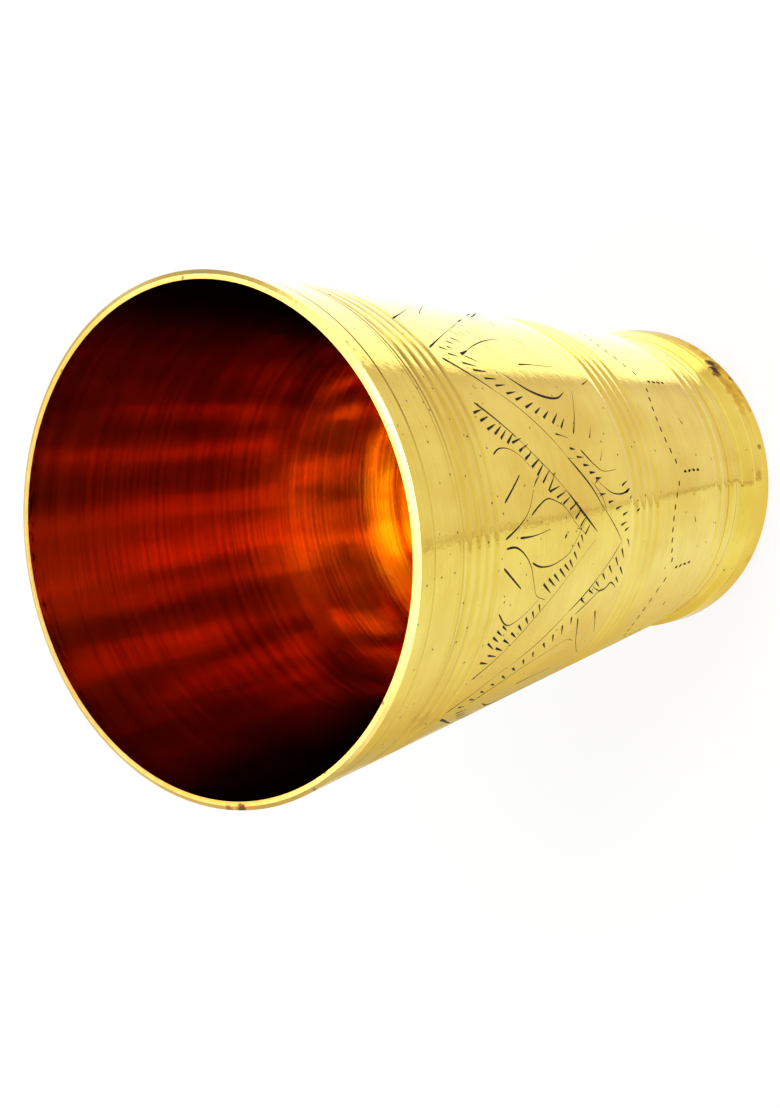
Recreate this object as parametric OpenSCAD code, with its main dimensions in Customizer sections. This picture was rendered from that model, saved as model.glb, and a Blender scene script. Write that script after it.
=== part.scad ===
// Brass tumbler: a tapered drinking cup on a low turned foot.
// The waisted wall stands on the foot ring, the floor disc sits in a seat in the ring and
// centres the wall on it, and two braze fillets hold the three together.
// Millimetres, +Z up, origin at the centre of the foot's face.

/* [Cup] */
// Outside diameter at the lip
mouth_d = 89; // [82:0.5:98]
// Height from the foot's face to the top of the lip
height = 127; // [116:1:142]
// Wall thickness, measured level
wall_t = 1.5; // [1.2:0.1:2.2]
// Flat on top of the lip, inside its bevel
lip_flat = 0.8; // [0.5:0.1:1.1]
// Drop of the bevel round the outside of the lip
lip_drop = 0.3; // [0.1:0.1:0.8]

/* [Floor] */
// Thickness of the floor disc
floor_t = 2.4; // [1.8:0.1:3]
// Rings turned in the top of the floor
floor_rings = 3; // [1:1:3]
// Radius of the first ring
floor_ring_r = 5; // [3:0.5:7]
// Distance from ring to ring
floor_ring_pitch = 6; // [3.5:0.5:6.5]

/* [Waist] */
// Height of the top of the waist
waist_z = 16; // [14:0.5:20]
// Outside diameter at the top of the waist
waist_d = 59; // [56:0.5:64]
// Hollow of the waist
waist_depth = 1; // [0.4:0.1:1.4]
// Thickness of the wall behind the waist
waist_wall = 1; // [0.8:0.1:1.4]

/* [Foot] */
// Height of the foot ring, up to the seam where the wall stands on it
band_h = 6; // [5:0.5:8]
// Outside diameter of the foot ring
band_d = 58.7; // [55:0.1:64]
// Radius of the foot ring's bottom edge
band_round = 1.6; // [0.8:0.1:2.4]
// Depth of the floor's seat in the foot ring
seat_depth = 1; // [0.6:0.1:1.6]
// Width of the ledge that carries the floor
ledge_w = 2; // [1.4:0.1:3]
// Chamfer where the hollow meets the foot's face
bore_chamfer = 0.4; // [0.2:0.1:0.8]

/* [Turned lines] */
// Width of a fine line
line_w = 0.5; // [0.3:0.1:0.8]
// Depth of a fine line
line_depth = 0.2; // [0.1:0.05:0.4]
// Width of a cove
cove_w = 2.3; // [1.4:0.1:2.4]
// Depth of a cove
cove_depth = 0.18; // [0.08:0.02:0.3]
// Fine line below the lip
lip_line_at = 4.3; // [3:0.1:6]
// Fine line above the upper coves
border_line_at = 13; // [10:0.1:13.2]
// First upper cove below the lip
upper_at = 14.8; // [14.6:0.1:18]
// Distance from cove to cove in the upper group
upper_pitch = 2.9; // [2.5:0.1:3.5]
// Coves in the upper group
upper_count = 4; // [1:1:5]
// First lower cove below the lip
lower_at = 73.2; // [66:0.2:76]
// Distance from cove to cove in the lower group
lower_pitch = 2.7; // [2.5:0.1:3.5]
// Coves in the lower group
lower_count = 4; // [1:1:5]
// Lowest foot cove above the foot's face
foot_cove_z = 10.1; // [10:0.1:11]
// Distance from cove to cove in the foot group
foot_pitch = 3.1; // [2.5:0.1:3.2]
// Coves in the foot group
foot_count = 4; // [1:1:4]

/* [Joints] */
// Gap round the floor's edge, in its seat and in the wall
floor_gap = 0.05; // [0.03:0.01:0.1]
// Radius of the braze fillets
braze_r = 1.6; // [1:0.1:2.2]
// Thickness of the braze where it ends
braze_edge = 0.15; // [0.1:0.05:0.3]

/* [Hidden] */

mouth_r = mouth_d / 2;
waist_top_r = waist_d / 2;
band_r = band_d / 2;

// The cone of the wall, from the top of the waist to the lip's outer edge
lip_z = height - lip_drop;
taper = (mouth_r - waist_top_r) / (lip_z - waist_z);
function wall_r(z) = waist_top_r + taper * (z - waist_z);

// The waist is one arc from the cone to the foot ring, hollowed by waist_depth
waist_dr = waist_top_r - band_r;
waist_dz = waist_z - band_h;
waist_chord = sqrt(waist_dr * waist_dr + waist_dz * waist_dz);
waist_arc_r = waist_chord * waist_chord / (8 * waist_depth) + waist_depth / 2;
waist_off = (waist_arc_r - waist_depth) / waist_chord;
waist_cr = (waist_top_r + band_r) / 2 + waist_off * waist_dz;
waist_cz = (waist_z + band_h) / 2 - waist_off * waist_dr;
function waist_r(z) = waist_cr - sqrt(waist_arc_r * waist_arc_r - (z - waist_cz) * (z - waist_cz));

// The inside is the wall's own cone, drawn in below the top of the waist
// where that is needed to leave waist_wall behind the coves there
bore_top_r = waist_top_r - wall_t;
waist_bore_r = waist_cr - waist_arc_r - cove_depth - waist_wall;
seat_r = min(wall_r(band_h) - wall_t, 2 * waist_bore_r - bore_top_r);
function bore_wall_r(z) = seat_r + (bore_top_r - seat_r) * (z - band_h) / waist_dz;

// The floor rests on the ledge and stands up into the wall
floor_z = band_h - seat_depth;
floor_top = floor_z + floor_t;
bore_r = seat_r - ledge_w;

// The round edge leaves at least half of the band as a flat face to stand on
edge_r = min(band_round, (band_r - bore_r) / 2);

// Outside radius of the body at any height above the foot ring
function body_r(z) = z >= waist_z ? wall_r(z) : waist_r(z);

// A cove is part of a circle, as wide and as deep as the values above
cove_r = cove_w * cove_w / (8 * cove_depth) + cove_depth / 2;

// Height of each cove
upper_z = [for (i = [0 : upper_count - 1]) height - upper_at - i * upper_pitch];
lower_z = [for (i = [0 : lower_count - 1]) height - lower_at - i * lower_pitch];
foot_z = [for (i = [0 : foot_count - 1]) foot_cove_z + i * foot_pitch];

module cove_at(z) {
    translate([body_r(z) + cove_r - cove_depth, z])
        circle(r = cove_r, $fn = 96);
}

module line_at(r, z) {
    polygon([
        [r - line_depth, z],
        [r + line_depth, z + line_w],
        [r + line_depth, z - line_w]
    ]);
}

module turned_lines() {
    line_at(wall_r(height - lip_line_at), height - lip_line_at);
    line_at(wall_r(height - border_line_at), height - border_line_at);
    line_at(band_r, band_h);
    for (z = concat(upper_z, lower_z, foot_z)) {
        cove_at(z);
    }
}

module wall_section() {
    difference() {
        polygon([
            [band_r, band_h],
            [waist_top_r, waist_z],
            [mouth_r, lip_z],
            [mouth_r - wall_t + lip_flat, height],
            [mouth_r - wall_t, height],
            [bore_top_r, waist_z],
            [seat_r, band_h]
        ]);
        translate([waist_cr, waist_cz])
            circle(r = waist_arc_r, $fn = 180);
        turned_lines();
    }
}

module cup_wall() {
    color("goldenrod")
        rotate_extrude($fn = 180)
            wall_section();
}

module floor_section() {
    difference() {
        polygon([
            [0, floor_z],
            [seat_r - floor_gap, floor_z],
            [seat_r - floor_gap, band_h],
            [bore_wall_r(floor_top) - floor_gap, floor_top],
            [0, floor_top]
        ]);
        for (i = [0 : floor_rings - 1]) {
            translate([floor_ring_r + i * floor_ring_pitch, floor_top + cove_r - cove_depth])
                circle(r = cove_r, $fn = 96);
        }
    }
}

module cup_floor() {
    color("gold")
        rotate_extrude($fn = 180)
            floor_section();
}

module foot_blank() {
    // Plain band with its round bottom edge
    translate([bore_r, edge_r])
        square([band_r - bore_r, band_h - edge_r]);
    translate([bore_r, 0])
        square([band_r - edge_r - bore_r, band_h]);
    translate([band_r - edge_r, edge_r])
        circle(r = edge_r, $fn = 96);
}

module foot_section() {
    difference() {
        foot_blank();
        translate([bore_r - 1, floor_z])
            square([seat_r - bore_r + 1, seat_depth + 1]);
        polygon([
            [bore_r - 1, -1],
            [bore_r + bore_chamfer + 1, -1],
            [bore_r - 1, bore_chamfer + 1]
        ]);
        turned_lines();
    }
}

module foot_ring() {
    color("darkgoldenrod")
        rotate_extrude($fn = 180)
            foot_section();
}

// Fillet in the corner of the floor and the wall, inside the cup
module floor_braze() {
    corner_r = bore_wall_r(floor_top);
    toe_r = corner_r - braze_r;
    top = floor_top + braze_edge + braze_r;
    color("khaki")
        rotate_extrude($fn = 180)
            difference() {
                polygon([
                    [toe_r, floor_top],
                    [corner_r, floor_top],
                    [bore_wall_r(top), top],
                    [toe_r, top]
                ]);
                translate([toe_r, top])
                    circle(r = braze_r, $fn = 96);
            }
}

// Fillet in the corner of the floor and the ledge, under the cup
module foot_braze() {
    leg = braze_r + braze_edge;
    color("khaki")
        rotate_extrude($fn = 180)
            difference() {
                translate([bore_r - leg, floor_z - leg])
                    square(leg);
                translate([bore_r - leg, floor_z - leg])
                    circle(r = braze_r, $fn = 96);
            }
}

cup_wall();
cup_floor();
foot_ring();
floor_braze();
foot_braze();
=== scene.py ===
import bmesh
import bpy
import math
import random
from mathutils import Matrix, Vector


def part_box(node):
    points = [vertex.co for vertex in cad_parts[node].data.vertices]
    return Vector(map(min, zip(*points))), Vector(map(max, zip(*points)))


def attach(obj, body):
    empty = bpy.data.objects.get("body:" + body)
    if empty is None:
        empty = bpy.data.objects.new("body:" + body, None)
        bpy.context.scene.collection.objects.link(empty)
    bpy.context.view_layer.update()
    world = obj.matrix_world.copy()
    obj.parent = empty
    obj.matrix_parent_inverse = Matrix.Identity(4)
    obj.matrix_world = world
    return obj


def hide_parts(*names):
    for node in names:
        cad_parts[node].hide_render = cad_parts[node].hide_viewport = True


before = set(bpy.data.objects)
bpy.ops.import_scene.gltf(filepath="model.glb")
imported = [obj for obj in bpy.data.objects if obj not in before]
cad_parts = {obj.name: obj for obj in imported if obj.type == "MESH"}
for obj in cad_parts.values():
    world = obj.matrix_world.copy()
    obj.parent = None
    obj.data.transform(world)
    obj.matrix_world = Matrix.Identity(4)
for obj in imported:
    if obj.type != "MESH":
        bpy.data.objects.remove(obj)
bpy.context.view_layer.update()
scene = bpy.context.scene
mm = 0.001
front = -90.0  # degrees round the axis that the engraving counts from
random.seed(11)

# The tumbler's own sizes, in mm, taken from the frame
wallLow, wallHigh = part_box("cup_wall")
_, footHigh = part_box("foot_ring")
floorLow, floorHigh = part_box("cup_floor")
height = round(wallHigh[2] / mm, 2)
mouthR = round(max(wallHigh[0], wallHigh[1]) / mm, 2)
seamZ = round(wallLow[2] / mm, 2)
bandR = round(max(footHigh[0], footHigh[1]) / mm, 2)
floorZ = round(floorLow[2] / mm, 2)
floorTop = round(floorHigh[2] / mm, 2)
print("frame: mouth radius", mouthR, "height", height, "seam", seamZ, "foot", bandR, "floor", floorTop)


# Shader maths as Python expressions

class Val:
    def __init__(self, paint, out):
        self.paint = paint
        self.out = out

    def math(self, operation, *others):
        values = dict(enumerate((self,) + others))
        return self.paint.node("Math", {"operation": operation}, values)

    def __add__(self, other):
        return self.math("ADD", other)

    __radd__ = __add__

    def __sub__(self, other):
        return self.math("SUBTRACT", other)

    def __rsub__(self, other):
        return self.paint.node("Math", {"operation": "SUBTRACT"}, {0: other, 1: self})

    def __mul__(self, other):
        return self.math("MULTIPLY", other)

    __rmul__ = __mul__

    def __truediv__(self, other):
        return self.math("DIVIDE", other)

    def clamp(self):
        return self.paint.node("Clamp", {}, {"Value": self})

    def between(self, low, high):
        return self.paint.node("MapRange", {"interpolation_type": "SMOOTHSTEP"},
                               {"Value": self, "From Min": low, "From Max": high})


class Paint:
    def __init__(self, owner):
        self.owner = owner
        owner.use_nodes = True
        self.tree = owner.node_tree
        self.tree.nodes.clear()

    def node(self, kind, settings, inputs, output=0):
        made = self.tree.nodes.new("ShaderNode" + kind)
        for key, value in settings.items():
            if key == "stops":
                while len(made.color_ramp.elements) < len(value):
                    made.color_ramp.elements.new(1.0)
                for stop, (place, colour) in zip(made.color_ramp.elements, value):
                    stop.position = place
                    stop.color = (*colour, 1.0)
            else:
                setattr(made, key, value)
        for key, value in inputs.items():
            if isinstance(value, Val):
                self.tree.links.new(value.out, made.inputs[key])
            else:
                made.inputs[key].default_value = value
        return Val(self, made.outputs[output])

    def mix(self, fac, a, b):
        a, b = (colour if isinstance(colour, Val) else (*colour, 1.0) for colour in (a, b))
        return self.node("Mix", {"data_type": "RGBA"}, {"Factor": fac, 6: a, 7: b}, 2)  # its colour sockets

    def place(self):
        return self.node("TexCoord", {}, {}, "Object")

    def parts(self, vector):
        split = self.node("SeparateXYZ", {}, {0: vector})
        return [Val(self, out) for out in split.out.node.outputs]

    def vector(self, x, y, z):
        return self.node("CombineXYZ", {}, {0: x, 1: y, 2: z})

    def noise(self, vector, scale, detail, rough):
        sockets = {"Vector": vector, "Scale": scale, "Detail": detail, "Roughness": rough}
        return self.node("TexNoise", {}, sockets)

    def rays(self):
        paths = self.node("LightPath", {}, {}).out.node.outputs
        seen = [Val(self, paths[name]) for name in ("Is Camera Ray", "Is Glossy Ray", "Is Transmission Ray")]
        return (seen[0] + seen[1] + seen[2]).clamp()

    def finish(self, shader, output="OutputMaterial"):
        out = self.tree.nodes.new("ShaderNode" + output)
        self.tree.links.new(shader.out, out.inputs["Surface"])
        return self.owner


def newPaint(name):
    return Paint(bpy.data.materials.new(name))


# Sizes of the turned wall in mm. A group of coves has its first place, its pitch and its number
turned = {
    "wall": 1.5, "lipFlat": 0.8, "lipDrop": 0.3, "waistZ": 16.0, "waistR": 29.5, "waist": 1.0,
    "waistWall": 1.0, "lineWidth": 0.5, "lineDepth": 0.2, "coveWidth": 2.3, "coveDepth": 0.18,
    "lipLine": 4.3, "borderLine": 13.0, "hairLine": 12.05, "hairWidth": 0.26, "hairDepth": 0.06,
    "upper": (14.8, 2.9, 4), "lower": (73.2, 2.7, 4), "foot": (10.1, 3.1, 4),
    "boreZ": (120, 108, 96, 84, 72, 60, 48, 36, 26),
    "steps": 240, "coveSteps": 8, "longStep": 2.5, "shortStep": 0.04,
}
lipZ = height - turned["lipDrop"]
taper = (mouthR - turned["waistR"]) / (lipZ - turned["waistZ"])


# Brass finishes

grooves = {
    # dirt in the fine lines, kept mostly to one side of the cup as painted shade: half its width in mm, the
    # share of that which is full, and its strength
    "lines": [("lipLine", 0.36), ("borderLine", 0.36), ("hairLine", 0.16)],
    "lineCore": 0.39, "lineBase": 0.6, "lineBroken": 0.5,
    # dirt and painted shade in the cove valleys, kept mostly to one side of the cup: strength of each group,
    # where a valley holds it, and its fade past the group in mm
    "coves": [("upper", 0.92), ("lower", 0.14), ("foot", 0.14)],
    "valley": (0.42, 1.0), "coveBase": 0.3, "coveBroken": 0.7, "fade": 0.5,
    "scratch": (0.53, 0.66), "scratchShare": 0.4,
}


# Darkening in the turned lines and coves: partly dirt, partly painted shade in the cove valleys, and kept
# mostly to one side of the cup as painted shade
def grooveGrimeAndShade(below, breakUp, grimeAndShadeSide, lineGrimeAndShadeSide, lines):
    masks = []
    for line, half in grooves["lines"]:
        near = (below - turned[line]).math("ABSOLUTE")
        trace = 1.0 - near.between(half * grooves["lineCore"], half)
        masks.append(trace * (breakUp * grooves["lineBroken"] + grooves["lineBase"]) * lineGrimeAndShadeSide)
    for group, strength in grooves["coves"]:
        first, pitch, number = turned[group]
        if group == "foot":  # counted up from the foot's face
            first = height - first - pitch * (number - 1)
        valley = (((below - first) / pitch).math("FRACT") - 0.5).math("ABSOLUTE") * 2.0
        low = first - pitch / 2
        high = low + number * pitch
        fade = grooves["fade"]
        inside = below.between(low, low + fade) * (1.0 - below.between(high - fade, high))
        broken = breakUp * grooves["coveBroken"] + grooves["coveBase"]
        deposit = valley.between(*grooves["valley"]) * broken * grimeAndShadeSide * strength
        scratch = lines.between(*grooves["scratch"]) * (strength * grooves["scratchShare"])
        masks.append(inside * deposit.math("MAXIMUM", scratch))
    grimeAndShade = masks[0]
    for mask in masks[1:]:
        grimeAndShade = grimeAndShade.math("MAXIMUM", mask)
    return grimeAndShade


def stainPlace(degrees, below, inset):
    z = height - below
    r = (bandR if z < seamZ else mouthR - taper * below) - inset
    angle = math.radians(degrees + front)
    return (r * math.cos(angle) * mm, r * math.sin(angle) * mm, z * mm)


tarnish = {"dark": (0.030, 0.009, 0.004), "brown": (0.20, 0.06, 0.012), "amber": (0.60, 0.31, 0.03)}

# Wear and painted shade that the brass finishes share: noise scales per metre, lengths in mm, the rest as
# shares
wear = {
    "turnScale": 25.0, "streakScale": (210.0, 9.0), "grainScale": 620.0, "raggedScale": 700.0,
    "cloudTone": 0.7, "toneSpan": 0.14, "lineRough": 0.06, "cloudRough": 0.08,
    "lowBase": 0.7, "lowLines": 0.4, "side": (0.55, 1.0), "rim": (0.2, 0.8),
    "ringEdge": 0.3, "ringRagged": 0.6, "ringBase": 0.8, "ringLines": 0.3,
    "otherSideShare": 0.15, "grimeAndShadeSide": (9.0, 19.0), "lineGrimeAndShadeSide": (2.0, 24.0), "broken": (0.35, 0.6),
    "stainCore": 0.4, "stainRagged": 1.8, "stainRough": 0.2, "stainDull": 0.3,
    "smudgeScale": (500.0, 1300.0), "smudge": (0.5, 0.62), "smudgeDown": (0.6, 2.6),
    "smudgeSide": (25.0, 38.0), "pitStart": (3.0, 7.0), "pitEnd": (30.0, 42.0), "pitPatch": 160.0,
    "pitSpread": (0.5, 0.6), "pitSize": (0.06, 0.13), "pitTone": (0.10, 0.045, 0.012), "pitRough": 0.3,
}


def brassPaint(name, look):
    p = newPaint(name)
    spot = p.place()
    x, y, z = p.parts(spot)
    out = (x * x + y * y).math("SQRT")
    below = height - z / mm
    turn = wear["turnScale"]
    turnSpot = p.vector(x * turn, y * turn, (z + out) * look["lineScale"])
    lines = p.noise(turnSpot, 1.0, detail=3.0, rough=0.6)  # fine lines left by turning
    across, along = wear["streakScale"]
    streakSpot = p.vector(x * across, y * across, z * along)
    streak = p.noise(streakSpot, 1.0, detail=3.0, rough=0.55)  # lengthwise wear
    cloud = p.noise(spot, look["cloudScale"], detail=4.0, rough=0.6)
    waveSpot = p.vector(x, y, z * look["waveStretch"])
    wave = p.noise(waveSpot, look["waveScale"], detail=1.0, rough=0.4)
    grain = p.noise(spot, wear["grainScale"], detail=3.0, rough=0.6)
    ragged = p.noise(spot, wear["raggedScale"], detail=3.0, rough=0.6) - 0.5
    tone = cloud * wear["cloudTone"] + streak * look["streak"] + lines * look["lineTone"]
    middle = 0.5 * (wear["cloudTone"] + look["streak"] + look["lineTone"])
    brighter = tone.between(middle - wear["toneSpan"], middle + wear["toneSpan"])
    colour = p.mix(brighter, look["deep"], look["bright"])
    rough = look["rough"] + (lines - 0.5) * wear["lineRough"] + (cloud - 0.5) * wear["cloudRough"]
    metal = 1.0
    if "lowTone" in look:
        top, fade, lowTone = look["lowTone"]
        low = 1.0 - (z + ragged * mm).between(top * mm, (top + fade) * mm)
        colour = p.mix(low * (lines * wear["lowLines"] + wear["lowBase"]).clamp(), colour, lowTone)
    # painted shade: the bore is darkened towards its two sides in x, where the inside looks near black
    if "sideShade" in look:
        strength, sideShade = look["sideShade"]
        side = (x / out).math("ABSOLUTE").between(*wear["side"])
        colour = p.mix(side * strength, colour, sideShade)
    # painted shade: the lip's flat inner half is coloured amber all round, standing in for the darker
    # reflection it shows
    if "rimShade" in look:
        rimR = (mouthR - turned["wall"]) * mm
        near, far = wear["rim"]
        colour = p.mix(1.0 - out.between(rimR + near * mm, rimR + far * mm), colour, look["rimShade"])
    if "ring" in look:
        inner, outer, ringTone = look["ring"]
        soft = wear["ringEdge"]
        edge = out + ragged * (wear["ringRagged"] * mm)
        starts = edge.between((inner - soft) * mm, (inner + soft) * mm)
        ends = edge.between((outer - soft) * mm, (outer + soft) * mm)
        mask = starts * (1.0 - ends) * (lines * wear["ringLines"] + wear["ringBase"])
        colour = p.mix(mask, colour, ringTone)
    if look.get("grimeAndShade"):
        otherSideShare = wear["otherSideShare"]
        grimeAndShadeSide = (x / mm).between(*wear["grimeAndShadeSide"]) * (1.0 - otherSideShare) + otherSideShare  # painted shade: strongest on one side of the cup, the rest keeps a share
        lineGrimeAndShadeSide = (x / mm).between(*wear["lineGrimeAndShadeSide"]) * (1.0 - otherSideShare) + otherSideShare
        breakUp = cloud.between(*wear["broken"])
        colour = p.mix(grooveGrimeAndShade(below, breakUp, grimeAndShadeSide, lineGrimeAndShadeSide, lines), colour, look["grimeAndShade"])
    for degrees, down, inset, size, strength, stain in look.get("stains", []):
        points = {0: spot, 1: stainPlace(degrees, down, inset)}
        away = p.node("VectorMath", {"operation": "DISTANCE"}, points, "Value")
        reach = size * mm
        edge = away + ragged * (reach * wear["stainRagged"])
        mask = (1.0 - edge.between(reach * wear["stainCore"], reach)) * strength
        colour = p.mix(mask, colour, tarnish[stain])
        rough = rough + mask * wear["stainRough"]
        if stain == "dark":
            metal = metal - mask * wear["stainDull"]
    if "chatter" in look:
        across, along = wear["smudgeScale"]
        smudgeSpot = p.vector(x * across, y * across, z * along)
        smudge = p.noise(smudgeSpot, 1.0, detail=3.0, rough=0.6).between(*wear["smudge"])
        near, far = wear["smudgeSide"]
        side = y.between(near * mm, far * mm)
        mask = smudge * (1.0 - below.between(*wear["smudgeDown"])) * side * look["chatter"]
        colour = p.mix(mask, colour, tarnish["dark"])
    if look["pits"]:
        crowded = below.between(*wear["pitStart"]) * (1.0 - below.between(*wear["pitEnd"])) * look["pitCrowd"]
        cells = {"Vector": spot, "Scale": look["pitScale"]}
        pit = p.node("TexVoronoi", {"feature": "F1"}, cells, "Distance")
        patch = p.noise(spot, wear["pitPatch"], detail=1.0, rough=0.5) + crowded
        mask = (1.0 - pit.between(*wear["pitSize"])) * patch.between(*wear["pitSpread"]) * look["pits"]
        colour = p.mix(mask, colour, wear["pitTone"])
        rough = rough + mask * wear["pitRough"]
    bump = {}
    for relief, depth in ((lines, "lineDepth"), (grain, "grain"), (wave, "waveDepth")):
        bump = dict(bump, Height=relief, Strength=1.0, Distance=look[depth] * mm)
        bump = {"Normal": p.node("Bump", {}, bump)}
    sockets = {"Base Color": colour, "Roughness": rough, "Metallic": metal, **bump}
    if "edge" in look:
        sockets["Specular Tint"] = (*look["edge"], 1.0)
    return p.finish(p.node("BsdfPrincipled", {}, sockets))


# Stains: degrees, mm below the lip, mm inside the outer face, size in mm, strength, tarnish
outerLook = {
    "deep": (0.78, 0.575, 0.078), "bright": (0.88, 0.71, 0.130), "rough": 0.10, "cloudScale": 70.0,
    "pits": 0.85, "pitScale": 430.0, "pitCrowd": 0.3, "grain": 0.045, "grimeAndShade": (0.30, 0.16, 0.03),
    "streak": 0.12, "lineTone": 0.24, "lineDepth": 0.006, "lineScale": 1400.0,
    "waveScale": 75.0, "waveStretch": 0.6, "waveDepth": 0.16,
    "stains": [
        (38.8, 1.4, 0.0, 0.7, 0.6, "amber"), (36.6, 2.0, 0.0, 0.6, 0.6, "amber"),
        (32.1, 1.0, 0.0, 0.6, 0.7, "amber"), (31.6, 3.3, 0.0, 0.9, 0.6, "amber"),
        (34.0, 2.6, 0.0, 0.5, 0.6, "amber"), (45.3, 0.8, 0.0, 0.7, 0.5, "amber"),
        (51.0, 1.2, 0.0, 0.8, 0.4, "amber"), (38.6, 1.3, 0.0, 0.45, 0.55, "brown"),
        (37.6, 1.0, 0.0, 0.4, 0.5, "brown"), (36.4, 1.3, 0.0, 0.45, 0.45, "brown"),
        (41.6, 1.2, 0.0, 0.4, 0.4, "brown"), (33.0, 1.2, 0.0, 0.45, 0.5, "brown"),
        (-53.8, 17.2, 0.0, 3.0, 0.5, "amber"), (-50.5, 13.0, 0.0, 2.0, 0.35, "amber"),
        (-58.0, 23.0, 0.0, 2.4, 0.35, "amber"),
    ],
}
# The inside's brass is darker and redder than the outside's, with a dark red edge tint: painted shade that
# deepens and reddens its many reflections
innerLook = {
    "deep": (0.60, 0.270, 0.034), "bright": (0.82, 0.430, 0.070), "rough": 0.09, "cloudScale": 40.0,
    "pits": 0.0, "grain": 0.0, "edge": (0.18, 0.05, 0.03),
    "streak": 0.5, "lineTone": 1.1, "lineDepth": 0.009, "lineScale": 1000.0,
    "waveScale": 150.0, "waveStretch": 0.15, "waveDepth": 0.07,
}
boreLook = dict(
    innerLook, lowTone=(16.0, 8.0, (0.93, 0.69, 0.15)), sideShade=(0.27, (0.30, 0.11, 0.014)), chatter=0.8,
)
floorLook = dict(
    innerLook, deep=(0.84, 0.58, 0.11), bright=(0.95, 0.73, 0.17), lineDepth=0.003, waveDepth=0.02,
    ring=(15.2, 18.6, (0.48, 0.07, 0.006)),
)
filletLook = dict(innerLook, waveDepth=0.02)
lipLook = dict(
    outerLook, deep=(0.75, 0.50, 0.125), bright=(0.80, 0.60, 0.180), rough=0.30, pits=0.5, pitCrowd=0.0,
    waveDepth=0.05, grimeAndShade=None, rimShade=(0.79, 0.43, 0.11),
    stains=[
        (-100.0, 0.0, 1.1, 22.0, 0.4, "amber"), (130.0, 0.0, 1.1, 20.0, 0.4, "amber"),
        (-92.5, 0.2, 0.1, 1.3, 0.85, "dark"), (-96.0, 0.2, 0.1, 0.9, 0.7, "brown"),
        (-70.5, 0.2, 0.0, 0.8, 0.8, "dark"), (-42.0, 0.0, 1.4, 0.5, 0.7, "brown"),
        (-65.5, 0.0, 1.5, 0.5, 0.7, "brown"), (86.0, 0.0, 1.2, 0.5, 0.6, "dark"),
        (131.0, 0.0, 1.3, 0.4, 0.6, "brown"),
    ],
)
footLook = dict(
    outerLook, deep=(0.78, 0.57, 0.095), bright=(0.88, 0.71, 0.150), grimeAndShade=None, pitCrowd=0.0,
    lowTone=(2.0, 2.6, (0.80, 0.58, 0.10)), edge=(0.90, 0.76, 0.52),
    stains=[
        (38.0, 122.3, 0.0, 2.0, 0.95, "brown"), (42.0, 123.6, 0.0, 2.3, 0.95, "brown"),
        (39.0, 122.6, 0.0, 1.3, 0.95, "dark"), (42.5, 123.4, 0.0, 1.4, 0.95, "dark"),
        (48.0, 124.9, 0.0, 1.5, 0.7, "amber"), (54.0, 125.2, 0.0, 1.5, 0.6, "amber"),
        (61.0, 125.4, 0.0, 1.3, 0.5, "amber"), (34.0, 125.2, 0.0, 1.2, 0.8, "brown"),
        (27.0, 125.3, 0.0, 1.3, 0.6, "amber"), (20.0, 125.0, 0.0, 1.0, 0.5, "amber"),
        (5.0, 124.0, 0.0, 0.9, 0.7, "brown"), (-5.0, 122.5, 0.0, 1.0, 0.35, "brown"),
        (30.0, 125.4, 0.0, 2.2, 0.6, "amber"), (37.5, 125.4, 0.0, 2.0, 0.7, "amber"),
        (24.0, 125.6, 0.0, 2.0, 0.4, "amber"), (-40.0, 124.9, 0.0, 1.4, 0.4, "amber"),
        (33.0, 122.8, 0.0, 2.2, 0.6, "amber"), (29.0, 122.6, 0.0, 2.2, 0.65, "amber"),
        (24.5, 122.6, 0.0, 2.2, 0.6, "amber"), (20.0, 122.8, 0.0, 1.8, 0.45, "amber"),
        (47.5, 123.0, 0.0, 1.8, 0.5, "amber"), (52.5, 123.1, 0.0, 1.8, 0.45, "amber"),
    ],
)
brazeLook = dict(
    outerLook, deep=(0.5, 0.32, 0.09), bright=(0.62, 0.42, 0.13), rough=0.35, grimeAndShade=None, stains=[],
)
oxide = {
    "scale": 900.0, "spread": (0.35, 0.7), "deep": (0.020, 0.010, 0.004), "bright": (0.10, 0.05, 0.012),
    "rough": 0.55, "metal": 0.5,
}


def cutPaint():
    p = newPaint("engravedOxide")
    grain = p.noise(p.place(), oxide["scale"], detail=3.0, rough=0.6)
    colour = p.mix(grain.between(*oxide["spread"]), oxide["deep"], oxide["bright"])
    sockets = {"Base Color": colour, "Roughness": oxide["rough"], "Metallic": oxide["metal"]}
    return p.finish(p.node("BsdfPrincipled", {}, sockets))


outerBrass = brassPaint("outerBrass", outerLook)
innerBrass = brassPaint("innerBrass", boreLook)
floorBrass = brassPaint("floorBrass", floorLook)
lipBrass = brassPaint("lipBrass", lipLook)
footBrass = brassPaint("footBrass", footLook)
filletBrass = brassPaint("filletBrass", filletLook)
brazeBrass = brassPaint("brazeBrass", brazeLook)
cutOxide = cutPaint()
wallPaints = [outerBrass, innerBrass, lipBrass, cutOxide]
slots = {"outer": 0, "inner": 1, "lip": 2, "cut": 3}  # places in that list
print("finishes ready")


# Turned shapes: a closed profile in mm, spun about the axis

# sharp angles in degrees, tolerances in mm
shading = {"sharp": 35.0, "lipSharp": 10.0, "aboveLip": 0.01, "onCone": 0.02, "besideCove": 0.05}
quarterTurn = range(0, 91, 10)  # degrees along a rounded corner


def spinPiece(profile):
    bm = bmesh.new()
    ring = [bm.verts.new((r * mm, 0.0, z * mm)) for r, z in profile]
    edges = [bm.edges.new((a, b)) for a, b in zip(ring, ring[1:] + ring[:1])]
    bmesh.ops.spin(bm, geom=ring + edges, cent=(0, 0, 0), axis=(0, 0, 1), angle=math.tau,
                   steps=turned["steps"], use_merge=True, use_duplicate=False)
    bmesh.ops.remove_doubles(bm, verts=bm.verts, dist=1e-6)
    bmesh.ops.recalc_face_normals(bm, faces=bm.faces)
    return bm


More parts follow.
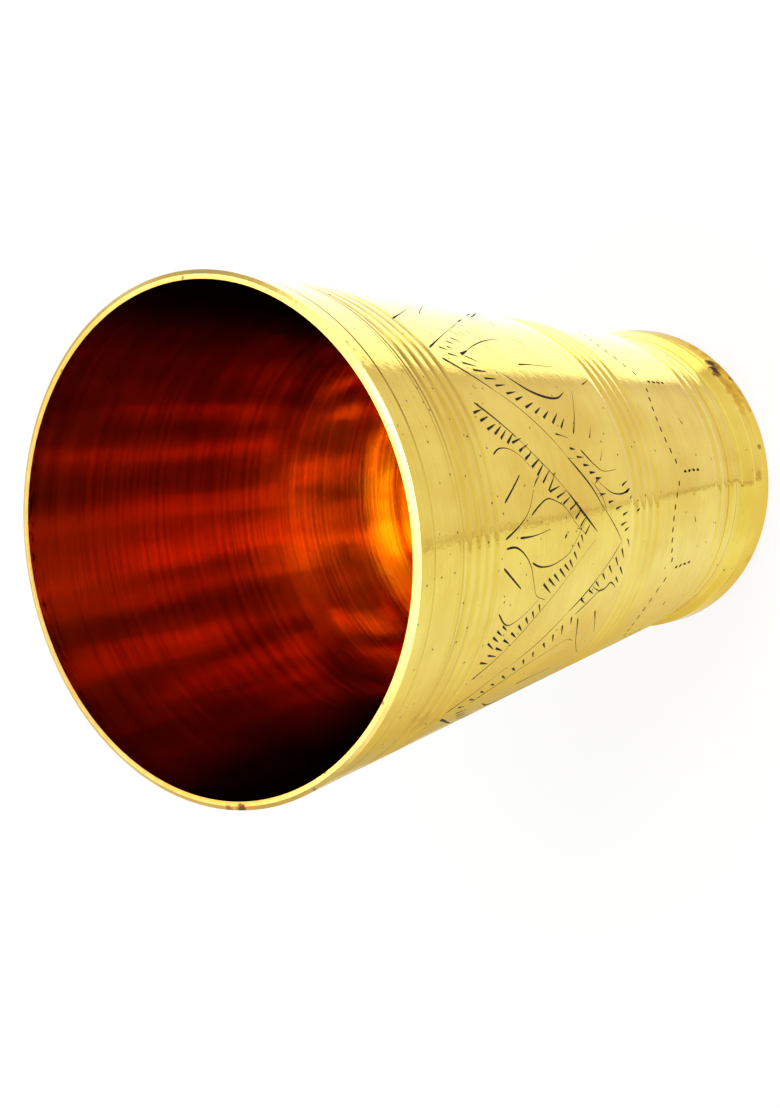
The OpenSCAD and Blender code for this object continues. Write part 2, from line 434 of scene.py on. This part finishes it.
def makeObject(name, bm, materials, sharp=shading["sharp"]):
    for face in bm.faces:
        face.smooth = True
    for edge in bm.edges:
        if len(edge.link_faces) == 2 and edge.calc_face_angle() > math.radians(sharp):
            edge.smooth = False
    mesh = bpy.data.meshes.new(name)
    bm.to_mesh(mesh)
    bm.free()
    for material in materials:
        mesh.materials.append(material)
    piece = bpy.data.objects.new(name, mesh)
    scene.collection.objects.link(piece)
    return piece


coveR = turned["coveWidth"] ** 2 / (8 * turned["coveDepth"]) + turned["coveDepth"] / 2


def wallR(z):
    return turned["waistR"] + taper * (z - turned["waistZ"])


# The waist is one arc, from the cone down to the foot ring
waistRun = turned["waistR"] - bandR
waistRise = turned["waistZ"] - seamZ
waistChord = math.hypot(waistRun, waistRise)
arcRadius = waistChord ** 2 / (8 * turned["waist"]) + turned["waist"] / 2
arcOff = (arcRadius - turned["waist"]) / waistChord
arcR = (turned["waistR"] + bandR) / 2 + arcOff * waistRise
arcZ = (turned["waistZ"] + seamZ) / 2 - arcOff * waistRun

# The inside follows the cone, drawn in a little behind the waist
boreTopR = turned["waistR"] - turned["wall"]
seatR = min(wallR(seamZ) - turned["wall"],
            2 * (arcR - arcRadius - turned["coveDepth"] - turned["waistWall"]) - boreTopR)


def insideR(z):
    if z >= turned["waistZ"]:
        return wallR(z) - turned["wall"]
    return seatR + (boreTopR - seatR) * (z - seamZ) / waistRise


def bodyR(z):
    if z >= turned["waistZ"]:
        return wallR(z)
    return arcR - math.sqrt(arcRadius ** 2 - (z - arcZ) ** 2)


def coveRow(group):
    first, pitch, number = turned[group]
    if group == "foot":  # counted up from the foot's face
        return [first + i * pitch for i in range(number)]
    return [height - first - i * pitch for i in range(number)]


coveZ = coveRow("upper") + coveRow("lower") + coveRow("foot")
fineLines = [(height - turned["lipLine"], turned["lineWidth"], turned["lineDepth"]),
             (height - turned["borderLine"], turned["lineWidth"], turned["lineDepth"]),
             (height - turned["hairLine"], turned["hairWidth"], turned["hairDepth"])]


def turnedR(z):
    r = bodyR(z)
    for c in coveZ:
        if abs(z - c) < turned["coveWidth"] / 2:
            r = min(r, bodyR(c) + coveR - turned["coveDepth"] - math.sqrt(coveR ** 2 - (z - c) ** 2))
    for c, width, depth in fineLines:
        r = min(r, bodyR(z) - depth * max(0.0, 1 - abs(z - c) / (width / 2)))
    return r


def outerHeights(low, high):
    marks = {low, high}
    half = turned["coveWidth"] / 2
    steps = turned["coveSteps"]
    for c in coveZ:
        marks.update(c + half * i / steps for i in range(-steps, steps + 1))
    for c, width, _ in fineLines:
        marks.update((c - width / 2, c, c + width / 2))
    span = turned["longStep"]
    marks.update(low + i * span for i in range(int((high - low) / span)))
    ordered = sorted(m for m in marks if low <= m <= high)
    kept = [ordered[0]]
    for m in ordered[1:]:
        if m - kept[-1] > turned["shortStep"]:
            kept.append(m)
    return kept


def wallProfile():
    half = turned["lineWidth"] / 2
    seam = [(bandR - turned["lineDepth"], seamZ)]
    outside = [(turnedR(z), z) for z in outerHeights(seamZ + half, lipZ)]
    lip = [(mouthR - turned["wall"] + turned["lipFlat"], height), (mouthR - turned["wall"], height)]
    boreZ = (*turned["boreZ"], turned["waistZ"], (turned["waistZ"] + seamZ) / 2, seamZ)
    inside = [(insideR(z), z) for z in boreZ]
    return seam + outside + lip + inside


# Engraving: (degrees from the middle of a panel, mm below the lip), seen with the mouth up

engraving = {
    # middle of each panel, its stretch, and how far its strokes reach to the left
    "panels": [(-10.0, 1.0, -90.0), (81.5, 0.937, -18.0), (170.0, 0.937, -90.0), (258.5, 0.937, -90.0)],
    "depth": 0.5,  # share of a stroke's width
    "finest": 0.03,  # half the width of the thinnest cut
    "curveSteps": 4,  # pieces between two points of a line
    "mmPerDegree": 0.7,  # round the wall, near the middle of the band
    # how a tick strays: round and down the wall, then the range of its lean, its fall and its width
    "hand": {"round": 0.15, "down": 0.12, "lean": (0.85, 1.15), "fall": (0.88, 1.12), "width": (0.88, 1.1)},
    "tickPoints": 5,
    "tickSpan": 3,  # pieces of a tick that make up its lean and fall
    "lines": [
        # outer and inner zigzag
        (0.80, "fade", [(46.1, 26.2), (42.8, 29.8), (37.0, 35.6)]),
        (0.20, "both", [(38.7, 33.8), (32.7, 39.9), (25.0, 46.1), (16.2, 52.1)]),
        (0.42, "both", [(18.0, 50.8), (15.9, 52.4), (9.3, 57.3), (3.2, 60.8)]),
        (0.22, "both", [(5.0, 59.8), (-2.1, 64.8), (-7.2, 68.0)]),
        (0.20, "both", [(11.2, 57.2), (7.0, 60.4), (2.2, 62.0)]),
        (0.62, "fade", [(33.2, 27.2), (29.0, 31.3), (24.0, 35.9)]),
        (0.18, "both", [(25.0, 35.0), (16.5, 42.3), (8.7, 49.0)]),
        (0.55, "both", [(9.6, 48.2), (3.9, 52.7), (-2.8, 58.5)]),
        (0.20, "end", [(-4.8, 57.9), (-9.1, 53.0), (-15.9, 46.4), (-21.8, 40.6), (-27.9, 35.0)]),
        (0.40, "end", [(-26.5, 36.5), (-31.3, 31.1), (-34.6, 26.3)]),
        (0.20, "both", [(-7.0, 68.2), (-11.5, 64.9), (-16.5, 60.8)]),
        (0.36, "both", [(-15.5, 61.7), (-21.2, 56.4), (-24.3, 52.9)]),
        (0.30, "both", [(-20.0, 64.0), (-24.8, 58.0), (-26.0, 56.4)]),
        (0.24, "both", [(-23.8, 53.4), (-31.0, 46.2), (-36.5, 38.4)]),
        (0.58, "start", [(-45.5, 25.7), (-41.3, 31.3), (-35.8, 38.4)]),
        # flower in the upper field
        (0.44, "start", [(-17, 26.9), (-20, 29.5), (-21.2, 32), (-20, 35.5), (-18, 38.5), (-16.6, 39.9)]),
        (0.42, "start", [(20.2, 26.7), (21.5, 29), (21.3, 32), (19.5, 35), (16.5, 37.6)]),
        (0.46, "bar", [(-6, 26.2), (-9, 29.4), (-12.2, 32.8)]),
        (0.44, "bar", [(8.9, 27.1), (11.8, 30.2), (14.8, 33.3)]),
        (0.52, "start", [(-1.6, 26.8), (-1.8, 30), (-4, 33), (-7.5, 35.5), (-12, 37.2), (-15.5, 39),
                         (-17.3, 42.3)]),
        (0.55, "start", [(0.6, 26.5), (3, 31), (6, 34.5), (11, 37)]),
        (0.30, "both", [(11.5, 37.2), (13.0, 38.4), (14.0, 39.6)]),
        (0.52, "start", [(0.2, 31.3), (0, 35), (0.2, 38), (0.8, 41.6)]),
        (0.46, "start", [(-6.5, 35.8), (-8, 38.5), (-8.5, 42), (-8, 45), (-6.5, 48.5), (-2.5, 51.5),
                         (1.2, 54.2)]),
        (0.46, "start", [(5, 35.4), (7, 38.3), (8.3, 41.3), (7.2, 44.5), (5, 47.5), (0.6, 50.8), (-2.4, 54)]),
        (0.50, "both", [(-2.4, 46.6), (-1.9, 47), (-1.4, 47.5)]),
        # side fields
        (0.62, "both", [(42.9, 41.5), (39.7, 44.3), (37.0, 47.4), (35.2, 51.6), (35.0, 55.5), (37.0, 58.9)]),
        (0.58, "start", [(46.0, 49.9), (46.3, 54.0), (46.1, 61.4)]),
        (0.46, "start", [(24.3, 55.4), (28, 57.5), (32, 59.5), (37.4, 62)]),
        (0.40, "start", [(22.8, 60.5), (24.7, 61.6), (26.5, 62.5)]),
        (0.30, "start", [(16.3, 62.1), (18, 63), (19.6, 63.8)]),
        (0.40, "start", [(40, 67.4), (41, 69.2), (42.2, 71)]),
        (0.50, "start", [(24.5, 49.2), (24.0, 51.0), (23.3, 52.9)]),
        (0.46, "start", [(19.7, 56.1), (17.3, 57.9), (15.3, 59.7), (13.6, 61.7), (13.2, 64.0), (13.4, 66.9)]),
        (0.44, "end", [(11.3, 59.3), (9.4, 61.3), (7.2, 64.1), (6.4, 66.8), (6.5, 69.0), (7.3, 70.8)]),
        (0.46, "start", [(-46.2, 33.7), (-44.3, 36.8), (-42.5, 40.0), (-39.4, 45.5), (-37.5, 51.0),
                         (-35.2, 58.2), (-37.0, 61.5)]),
        (0.46, "start", [(-27.9, 58.4), (-32.5, 60.5), (-38.5, 63.6), (-46.0, 69.0)]),
        (0.50, "start", [(-27.6, 64.4), (-31.8, 66.6), (-37.4, 69.4)]),
        (0.36, "both", [(-18.4, 59.7), (-20.6, 62.7), (-20.7, 65.0), (-19.3, 66.5), (-20.1, 67.9),
                        (-21.8, 69.5)]),
    ],
    # rows of ticks: path of their thick ends, number, first and last lean, first and last fall, width
    "ticks": [
        ([(30.5, 25.4), (26.5, 27.4), (22.7, 32.4)], 6, (0.6, 1.9), (2.3, 2.2), 0.52),
        ([(22.7, 33.8), (16.6, 37.7), (10.3, 42.1)], 7, (0.8, 2.4), (2.5, 2.0), 0.50),
        ([(10.0, 42.4), (4.4, 48.6), (-2.5, 54.0)], 7, (0.9, 1.8), (2.7, 1.5), 0.46),
        ([(45.1, 31.5), (38.0, 37.1), (31.4, 43.7), (26.0, 51.9)], 11, (-0.6, 2.3), (2.9, 2.0), 0.52),
        ([(20.3, 52.4), (13.6, 56.9), (11.5, 59.1)], 5, (-0.3, 0.0), (1.5, 1.5), 0.48),
        ([(7.1, 60.0), (4.7, 62.4), (0.2, 68.1)], 4, (0.0, 0.5), (1.5, 1.5), 0.46),
        ([(-2.6, 67.3), (-4.2, 68.9)], 2, (0.5, 0.5), (1.5, 1.3), 0.46),
        ([(8.5, 68.3), (0.5, 73.6)], 5, (0.9, 0.8), (1.5, 1.2), 0.46),
        ([(-2.4, 52.5), (-8.1, 49.3), (-12.8, 40.6)], 9, (-1.6, -2.3), (0.6, 2.6), 0.48),
        ([(-18.3, 40.8), (-22.0, 35.4), (-29.6, 26.2)], 9, (-1.6, -1.2), (0.8, 2.6), 0.50),
        ([(-20.8, 29.4), (-24.2, 26.1)], 4, (-1.3, -1.8), (1.4, 2.1), 0.48),
        ([(-7.5, 70.3), (-13.1, 65.1), (-21.2, 56.6)], 8, (-2.4, -1.4), (1.0, 1.7), 0.46),
        ([(-15.2, 69.1), (-18.0, 68.3)], 2, (-2.1, -1.7), (1.5, 1.3), 0.46),
        ([(-26.4, 55.4), (-33.7, 46.6), (-40.1, 37.9), (-42.4, 33.8), (-45.5, 29.4)], 12, (-2.5, -0.9),
          (1.0, 2.0), 0.48),
    ],
    # left edge of the second panel, cut more freely: whole degrees round the wall
    "edge": [
        (0.60, "start", [(50.3, 23.2), (53.4, 27.8), (57.8, 33.7)]),
        (0.55, "start", [(39.4, 25.0), (43.4, 30.9), (47.8, 37.2)]),
        (0.16, "both", [(47.8, 37.2), (50.5, 41.0), (53.4, 44.7)]),
        (0.32, "both", [(53.4, 44.7), (54.8, 46.5), (56.3, 48.4)]),
        (0.32, "both", [(59.6, 52.4), (62.0, 55.2), (64.5, 58.1)]),
        (0.52, "chisel", [(40.0, 28.3), (39.6, 29.3), (39.2, 30.3)]),
        (0.52, "chisel", [(40.5, 31.0), (40.2, 31.6), (39.8, 32.3)]),
        (0.52, "chisel", [(42.6, 32.6), (42.2, 33.4), (41.7, 34.3)]),
        (0.48, "chisel", [(44.4, 35.1), (43.6, 36.2), (42.7, 37.3)]),
        (0.28, "chisel", [(48.0, 37.4), (46.6, 38.7), (45.2, 40.0)]),
        (0.26, "chisel", [(47.5, 40.0), (46.7, 41.1), (45.8, 42.3)]),
        (0.24, "chisel", [(48.6, 43.2), (47.7, 44.0), (46.8, 44.8)]),
        (0.22, "chisel", [(50.0, 45.2), (49.0, 45.9), (47.9, 46.5)]),
        (0.22, "chisel", [(51.8, 47.6), (50.8, 48.4), (49.8, 49.2)]),
        (0.22, "chisel", [(53.6, 50.2), (52.6, 51.0), (51.6, 51.8)]),
        (0.22, "chisel", [(55.4, 52.9), (54.4, 53.7), (53.4, 54.5)]),
        (0.40, "chisel", [(59.3, 33.8), (58.7, 34.7), (58.1, 35.7)]),
        (0.40, "chisel", [(60.9, 36.2), (60.3, 37.0), (59.6, 37.9)]),
        (0.40, "chisel", [(62.6, 38.6), (61.9, 39.3), (61.2, 40.1)]),
        (0.40, "chisel", [(64.4, 40.8), (63.7, 41.4), (63.0, 42.1)]),
        (0.52, "chisel", [(37.9, 29.3), (37.5, 30.6), (37.0, 31.9)]),
        (0.42, "chisel", [(37.6, 34.1), (36.6, 35.6), (35.6, 37.2)]),
        (0.85, "fade", [(38.0, 33.3), (38.8, 34.9), (39.7, 36.5)]),
        (0.28, "both", [(39.6, 36.3), (41.6, 39.5), (44.1, 44.3), (45.6, 48.2), (46.5, 52.0)]),
        (0.20, "both", [(49.0, 55.4), (46.6, 57.5), (43.1, 59.6)]),
        (0.18, "both", [(49.9, 65.0), (46.9, 67.4), (43.5, 69.4)]),
        (0.18, "both", [(43.0, 43.8), (41.9, 44.3), (40.7, 44.8)]),
        (0.20, "both", [(58.1, 58.4), (55.9, 57.2), (53.7, 56.1)]),
    ],
    # band of dotted arches below the lower turned lines
    "arches": {"number": 11, "first": 0.0, "foot": 99.0, "spring": 92.5, "top": 88.3, "gap": 1.75, "dot": 1.0,
               "width": 0.62, "crownDots": 9, "crownPower": 0.8, "crownSlope": 0.5, "mmPerDegree": 0.55,
               "legShake": 0.3, "middleShake": 1.0, "stroke": 97.5,
               "strokePath": ((-1.0, 0.3), (0.0, 0.0), (1.2, -0.4))},
}


def onWall(degrees, below):
    z = height - below
    angle = math.radians(degrees + front)
    r = wallR(z)
    return Vector((r * math.cos(angle), r * math.sin(angle), z)) * mm


def outward(point):
    flat = Vector((point.x, point.y, 0.0)).normalized()
    return Vector((flat.x, flat.y, -taper)).normalized()


def smoothPath(points, per):
    path = []
    for i in range(len(points) - 1):
        a = Vector(points[max(i - 1, 0)])
        b = Vector(points[i])
        c = Vector(points[i + 1])
        d = Vector(points[min(i + 2, len(points) - 1)])
        for j in range(per):
            t = j / per
            path.append(0.5 * (2 * b + (c - a) * t + (2 * a - 5 * b + 4 * c - d) * t ** 2
                               + (3 * b - a - 3 * c + d) * t ** 3))
    path.append(Vector(points[-1]))
    return path


swells = {
    "start": lambda t: min(1.0, 0.55 + 6 * t) * (0.22 + 0.78 * (1 - t) ** 2.2),
    "end": lambda t: min(1.0, 0.55 + 6 * (1 - t)) * (0.1 + 0.9 * t),
    "both": lambda t: 0.15 + 0.85 * math.sin(math.pi * min(1.0, max(0.0, t))),
    "bar": lambda t: min(1.0, 0.6 + 5 * t) * (1 - 0.45 * t ** 2),
    "fade": lambda t: min(1.0, 0.6 + 5 * t) * (1 - 0.75 * t),
    "chisel": lambda t: 1.0 - 0.85 * t ** 2,
}


def cutStroke(joined, points, width, swell):
    bm = bmesh.new()
    last = None
    for i, (degrees, below) in enumerate(points):
        t = i / (len(points) - 1)
        here = onWall(degrees, below)
        ahead = onWall(*points[min(i + 1, len(points) - 1)])
        behind = onWall(*points[max(i - 1, 0)])
        up = outward(here)
        along = (ahead - behind).normalized()
        side = up.cross(along).normalized()
        half = max(engraving["finest"], width * swells[swell](t) / 2) * mm
        deep = half * 2 * engraving["depth"]
        place = Matrix((side * half, up * deep, along)).transposed().to_4x4()
        place.translation = here
        ends = i in (0, len(points) - 1)
        ring = bmesh.ops.create_circle(bm, cap_ends=ends, segments=4, radius=1.0, matrix=place)["verts"]
        edges = {e for v in ring for e in v.link_edges}
        if last:
            bmesh.ops.bridge_loops(bm, edges=list(last | edges))
        last = edges
    bmesh.ops.recalc_face_normals(bm, faces=bm.faces)
    for face in bm.faces:
        face.material_index = slots["cut"]
    part = bpy.data.meshes.new("stroke")
    bm.to_mesh(part)
    bm.free()
    joined.from_mesh(part)
    bpy.data.meshes.remove(part)


def alongRow(path, number):
    lengths = [0.0]
    for a, b in zip(path, path[1:]):
        lengths.append(lengths[-1] + math.hypot((b[0] - a[0]) * engraving["mmPerDegree"], b[1] - a[1]))
    for i in range(number):
        reach = lengths[-1] * (i / (number - 1) if number > 1 else 0.0)
        k = max(j for j in range(len(path) - 1) if lengths[j] <= reach + 1e-9)
        t = (reach - lengths[k]) / (lengths[k + 1] - lengths[k])
        yield Vector(path[k]).lerp(Vector(path[k + 1]), t)


def shake(amount):
    return random.uniform(-amount, amount)


def panelStrokes(joined, middle, stretch, reach):
    def placed(points):
        return [(middle + u * stretch, w) for u, w in points]

    hand = engraving["hand"]
    span = engraving["tickSpan"]
    for width, swell, points in engraving["lines"]:
        if max(p[0] for p in points) > reach:
            cutStroke(joined, placed(smoothPath(points, engraving["curveSteps"])), width, swell)
    for path, number, leans, falls, width in engraving["ticks"]:
        if max(p[0] for p in path) <= reach:
            continue
        for i, start in enumerate(alongRow(path, number)):
            t = i / max(1, number - 1)
            u = start.x + shake(hand["round"])
            w = start.y + shake(hand["down"])
            lean = (leans[0] + (leans[1] - leans[0]) * t) * random.uniform(*hand["lean"])
            fall = (falls[0] + (falls[1] - falls[0]) * t) * random.uniform(*hand["fall"])
            tick = [(u + lean * k / span, w + fall * k / span) for k in range(engraving["tickPoints"])]
            cutStroke(joined, placed(tick), width * random.uniform(*hand["width"]), "chisel")


def archStrokes(joined):
    a = engraving["arches"]
    pitch = 360.0 / a["number"]
    legMm = a["foot"] - a["spring"]
    rise = a["spring"] - a["top"]
    run = pitch * a["mmPerDegree"]
    half = a["dot"] / 2
    for k in range(a["number"]):
        leg = a["first"] + k * pitch
        for i in range(int(legMm / a["gap"]) + 1):
            w = a["foot"] - i * a["gap"]
            upperU = leg + shake(a["legShake"])
            lowerU = leg + shake(a["legShake"])
            cutStroke(joined, [(upperU, w + half), (leg, w), (lowerU, w - half)], a["width"], "bar")
        for i in range(1, a["crownDots"]):
            t = i / a["crownDots"]
            u = leg + pitch * t
            w = a["spring"] - rise * math.sin(math.pi * t) ** a["crownPower"]
            slope = rise * math.pi * math.cos(math.pi * t) * a["crownSlope"]
            size = math.hypot(run, slope)
            du = half * run / size / a["mmPerDegree"]
            dw = -half * slope / size
            cutStroke(joined, [(u - du, w - dw), (u, w), (u + du, w + dw)], a["width"], "bar")
        middle = leg + pitch / 2 + shake(a["middleShake"])
        stroke = [(middle + u, a["stroke"] + w) for u, w in a["strokePath"]]
        cutStroke(joined, stroke, a["width"], "start")


# The wall, engraved

bm = spinPiece(wallProfile())
for face in bm.faces:
    c = face.calc_center_median()
    z = c.z / mm
    if z > lipZ + shading["aboveLip"]:
        side = "lip"
    elif math.hypot(c.x, c.y) / mm < insideR(z) + turned["waistWall"] / 2:
        side = "inner"
    else:
        side = "outer"
    face.material_index = slots[side]
wall = makeObject("tumblerWall", bm, wallPaints)
print("wall turned:", len(wall.data.polygons), "faces")

joined = bmesh.new()
for middle, stretch, reach in engraving["panels"]:
    panelStrokes(joined, middle, stretch, reach)
for width, swell, points in engraving["edge"]:
    cutStroke(joined, smoothPath(points, engraving["curveSteps"]), width, swell)
archStrokes(joined)
cutter = makeObject("graverCuts", joined, wallPaints, sharp=180.0)
print("strokes cut:", len(cutter.data.polygons), "faces")

carve = wall.modifiers.new("carve", "BOOLEAN")
carve.operation = "DIFFERENCE"
carve.solver = "MANIFOLD"
carve.object = cutter
carved = bpy.data.meshes.new_from_object(wall.evaluated_get(bpy.context.evaluated_depsgraph_get()))
wall.modifiers.clear()
plain = wall.data
wall.data = carved
bpy.data.meshes.remove(plain)
bpy.data.objects.remove(cutter)
carved.name = "tumblerWall"
print("wall engraved:", len(carved.polygons), "faces")


def trueConeNormals(mesh):
    normals = [Vector(c.vector) for c in mesh.corner_normals]
    clear = turned["coveWidth"] / 2 + shading["besideCove"]
    for poly in mesh.polygons:
        if poly.material_index != slots["outer"]:
            continue
        for i in poly.loop_indices:
            co = mesh.vertices[mesh.loops[i].vertex_index].co
            z = co.z / mm
            onCone = abs(math.hypot(co.x, co.y) / mm - wallR(z)) < shading["onCone"]
            if onCone and all(abs(z - c) > clear for c in coveZ):
                normals[i] = outward(co)
    mesh.normals_split_custom_set([tuple(n) for n in normals])


bm = bmesh.new()
bm.from_mesh(carved)
for edge in bm.edges:
    if len(edge.link_faces) == 2:
        a, b = (face.material_index for face in edge.link_faces)
        cutEdge = (a == slots["cut"]) != (b == slots["cut"])
        limit = shading["lipSharp"] if a == b == slots["lip"] else shading["sharp"]
        edge.smooth = not cutEdge and edge.calc_face_angle() < math.radians(limit)
for face in bm.faces:
    face.smooth = True
bm.to_mesh(carved)
bm.free()
trueConeNormals(carved)
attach(wall, "root")
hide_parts("cup_wall")


# Foot ring: a plain band with a seat for the floor

footBand = {"round": 1.6, "ledge": 2.0, "chamfer": 0.4}
boreR = seatR - footBand["ledge"]


def footProfile():
    edge = min(footBand["round"], (bandR - boreR) / 2)
    corner = [(bandR - edge + edge * math.sin(math.radians(a)), edge - edge * math.cos(math.radians(a)))
              for a in quarterTurn]
    top = [(bandR, seamZ - turned["lineWidth"] / 2), (bandR - turned["lineDepth"], seamZ), (seatR, seamZ)]
    seat = [(seatR, floorZ), (boreR, floorZ)]
    hollow = [(boreR, footBand["chamfer"]), (boreR + footBand["chamfer"], 0.0)]
    return corner + top + seat + hollow


foot = makeObject("footRing", spinPiece(footProfile()), [footBrass])
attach(foot, "root")
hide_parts("foot_ring")
print("foot turned")


# Floor disc with its turned rings

floorDisc = {"ringR": 5.0, "pitch": 6.0, "rings": 3, "gap": 0.05}


def floorProfile():
    half = turned["coveWidth"] / 2
    rim = seatR - floorDisc["gap"]
    top = [(rim, floorZ), (rim, seamZ), (insideR(floorTop) - floorDisc["gap"], floorTop)]
    for i in reversed(range(floorDisc["rings"])):
        c = floorDisc["ringR"] + i * floorDisc["pitch"]
        for j in range(turned["coveSteps"], -turned["coveSteps"] - 1, -1):
            r = c + half * j / turned["coveSteps"]
            top.append((r, floorTop + coveR - turned["coveDepth"] - math.sqrt(coveR ** 2 - (r - c) ** 2)))
    return top + [(0.0, floorTop), (0.0, floorZ)]


disc = makeObject("floorDisc", spinPiece(floorProfile()), [floorBrass])
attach(disc, "root")
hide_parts("cup_floor")


# Braze fillets

braze = {"radius": 1.6, "edge": 0.15}


def brazeArc(cr, cz, start):
    angles = [math.radians(start + a) for a in quarterTurn]
    return [(cr + braze["radius"] * math.cos(a), cz + braze["radius"] * math.sin(a)) for a in angles]


cornerR = insideR(floorTop)
toeR = cornerR - braze["radius"]
topZ = floorTop + braze["edge"] + braze["radius"]
upperFillet = brazeArc(toeR, topZ, 270) + [(insideR(topZ), topZ), (cornerR, floorTop), (toeR, floorTop)]
fillet = makeObject("floorFillet", spinPiece(upperFillet), [filletBrass])
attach(fillet, "root")
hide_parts("floor_braze")
leg = braze["radius"] + braze["edge"]
innerR = boreR - leg
lowZ = floorZ - leg
lowerFillet = brazeArc(innerR, lowZ, 0) + [(innerR, floorZ), (boreR, floorZ), (boreR, lowZ)]
underFillet = makeObject("footFillet", spinPiece(lowerFillet), [brazeBrass])
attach(underFillet, "root")
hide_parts("foot_braze")
print("floor and fillets turned")


# Stage: pale floor, soft lamps and the camera

tableTop = {"size": 4.0, "matt": (0.95, 0.95, 0.95, 1.0), "glow": (1.0, 1.0, 1.0, 1.0), "glowShare": 0.85}


def floorPaint():
    p = newPaint("paleFloor")
    matt = p.node("BsdfDiffuse", {}, {"Color": tableTop["matt"]})
    glow = p.node("Emission", {}, {"Color": tableTop["glow"], "Strength": 1.0})
    return p.finish(p.node("MixShader", {}, {0: p.rays() * tableTop["glowShare"], 1: matt, 2: glow}))


bm = bmesh.new()
bmesh.ops.create_grid(bm, x_segments=1, y_segments=1, size=tableTop["size"])
floor = makeObject("paleFloor", bm, [floorPaint()])

# Glowing ring round the foot, no lamp, that only the brass sees: painted reflections. Its colour round the
# axis paints the blown highlight on one side of the wall, the thin dark line along it and darker zones
paintedReflection = {
    "focus": -0.018, "inner": 0.031, "outer": 0.40, "lift": 0.0005, "strength": 1.65, "segments": 96,
    "stops": [(0.00, (0.56, 0.50, 0.33)), (0.07, (0.61, 0.61, 0.61)), (0.14, (0.61, 0.61, 0.61)),
              (0.196, (0.59, 0.57, 0.54)), (0.202, (0.36, 0.28, 0.19)), (0.208, (0.54, 0.49, 0.475)),
              (0.25, (0.56, 0.52, 0.54)), (0.42, (0.56, 0.51, 0.51)), (0.453, (0.48, 0.42, 0.37)),
              (0.466, (1.0, 1.0, 1.0)), (0.70, (1.0, 1.0, 1.0)), (0.80, (0.7, 0.68, 0.6)),
              (0.87, (0.35, 0.28, 0.12)), (0.93, (0.47, 0.37, 0.12)), (1.00, (0.56, 0.50, 0.33))],
}


def paintedReflectionPaint():
    p = newPaint("paintedReflectionRing")
    x, y, _ = p.parts(p.place())
    # painted reflection: the colour is set by the angle round the foot
    turn = (y - paintedReflection["focus"]).math("ARCTAN2", x) / math.tau + 0.5
    shade = p.node("ValToRGB", {"stops": paintedReflection["stops"]}, {"Fac": turn})
    return p.finish(p.node("Emission", {}, {"Color": shade, "Strength": paintedReflection["strength"]}))


bm = bmesh.new()
lift = Matrix.Translation((0, 0, paintedReflection["lift"]))
for size in (paintedReflection["inner"], paintedReflection["outer"]):
    bmesh.ops.create_circle(bm, cap_ends=False, segments=paintedReflection["segments"], radius=size, matrix=lift)
bmesh.ops.bridge_loops(bm, edges=bm.edges)
ring = makeObject("paintedReflectionRing", bm, [paintedReflectionPaint()])
ring.visible_camera = False
ring.visible_diffuse = False
ring.visible_shadow = False
ring.visible_transmission = False

lamps = {
    # place, target, width and depth in m, power in W
    "topLamp": ((0.0, 0.0, 1.15), (0.0, 0.0, 0.0), (0.98, 0.98), 7.8),
    "keyLamp": ((0.314, -0.264, 1.03), (0.0, 0.0, 0.12), (0.44, 0.44), 3.4),
    "backLamp": ((-0.05, 0.64, 1.02), (0.0, 0.0, 0.12), (1.2, 0.34), 4.2),
    "sideLamp": ((0.653, -0.238, 0.84), (0.0, 0.0, 0.12), (0.85, 0.30), 2.6),
    "fillLamp": ((-0.67, -0.20, 0.80), (0.0, 0.0, 0.12), (0.50, 0.30), 1.4),
}


def softLamp(name, place, target, size, power):
    lamp = bpy.data.lights.new(name, "AREA")
    lamp.shape = "RECTANGLE"
    lamp.size = size[0]
    lamp.size_y = size[1]
    lamp.energy = power
    made = bpy.data.objects.new(name, lamp)
    scene.collection.objects.link(made)
    turn = (Vector(target) - Vector(place)).to_track_quat("-Z", "Y").to_matrix().to_4x4()
    made.matrix_world = Matrix.Translation(place) @ turn


for name, lamp in lamps.items():
    softLamp(name, *lamp)

# Pale room with a darker wall behind the table
roomWall = {"ahead": (0.1, 0.5), "foot": (0.3, 0.5), "top": (0.72, 0.78), "dark": 0.7, "ambient": 0.10}
room = Paint(bpy.data.worlds.new("softRoom"))
scene.world = room.owner
_, y, z = room.parts(room.node("TexCoord", {}, {}, "Generated"))
back = y.between(*roomWall["ahead"]) * z.between(*roomWall["foot"]) * (1.0 - z.between(*roomWall["top"]))
seen = 1.0 - back * roomWall["dark"]
light = room.rays() * (seen - roomWall["ambient"]) + roomWall["ambient"]
room.finish(room.node("Background", {}, {"Color": (1.0, 1.0, 1.0, 1.0), "Strength": light}), "OutputWorld")

view = {
    "place": (0.0, -0.3070, 0.4468), "forward": (-0.0142, 0.6436, -0.7652), "up": (0.9890, -0.1039, -0.1058),
    "lens": 87.73, "sensor": 36.0, "clip": 0.01,
}
forward = Vector(view["forward"]).normalized()
right = forward.cross(Vector(view["up"])).normalized()
up = right.cross(forward)
camera = bpy.data.cameras.new("photoView")
camera.lens = view["lens"]
camera.sensor_width = view["sensor"]
camera.clip_start = view["clip"]
cameraObject = bpy.data.objects.new("photoView", camera)
scene.collection.objects.link(cameraObject)
aim = Matrix((right, up, -forward)).transposed().to_4x4()
aim.translation = view["place"]
cameraObject.matrix_world = aim
scene.camera = cameraObject
scene.view_settings.view_transform = "Standard"
scene.cycles.max_bounces = 16  # the inside is lit by many bounces in the polished wall
scene.cycles.glossy_bounces = 14
print("stage set")
